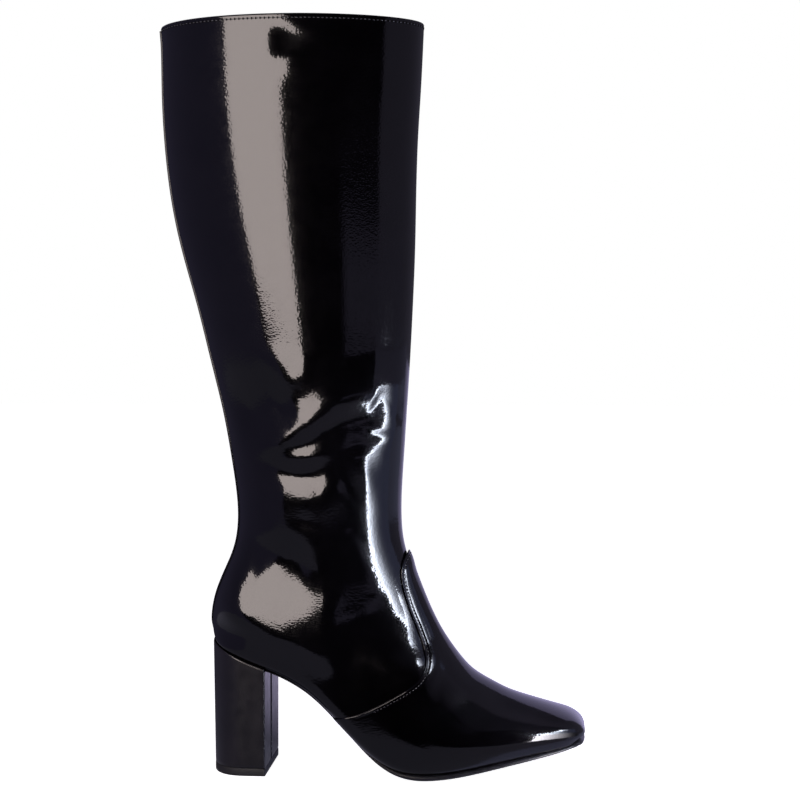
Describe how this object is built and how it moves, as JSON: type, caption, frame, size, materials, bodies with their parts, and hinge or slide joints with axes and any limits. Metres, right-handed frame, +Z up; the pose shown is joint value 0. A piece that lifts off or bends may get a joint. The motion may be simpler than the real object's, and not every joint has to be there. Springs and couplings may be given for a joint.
{
  "type": "boot",
  "caption": "Tall pull-on boot in glossy leather with an open shaft, lapped vamp, squared toe, thin sole and a high block heel; a right boot that stands on its own sole.",
  "frame": {"origin": "centre of the bounding box in plan, on the floor under the sole and heel", "axes": "+X from heel to toe, +Y to the inner side of the foot, +Z up along the shaft"},
  "size_m": [0.2734, 0.087, 0.4784],
  "materials": {
    "patent_leather": "high gloss",
    "strip_leather": "gloss",
    "sole": "satin",
    "sock": "matt",
    "heel_leather": "satin",
    "heel_rubber": "matt"
  },
  "bodies": {
    "root": {"upper": "patent_leather", "vamp": "patent_leather", "back_strip": "strip_leather", "outsole": "sole", "insole": "sock", "heel": "heel_leather", "heel_top_piece": "heel_rubber"}
  },
  "joints": []
}
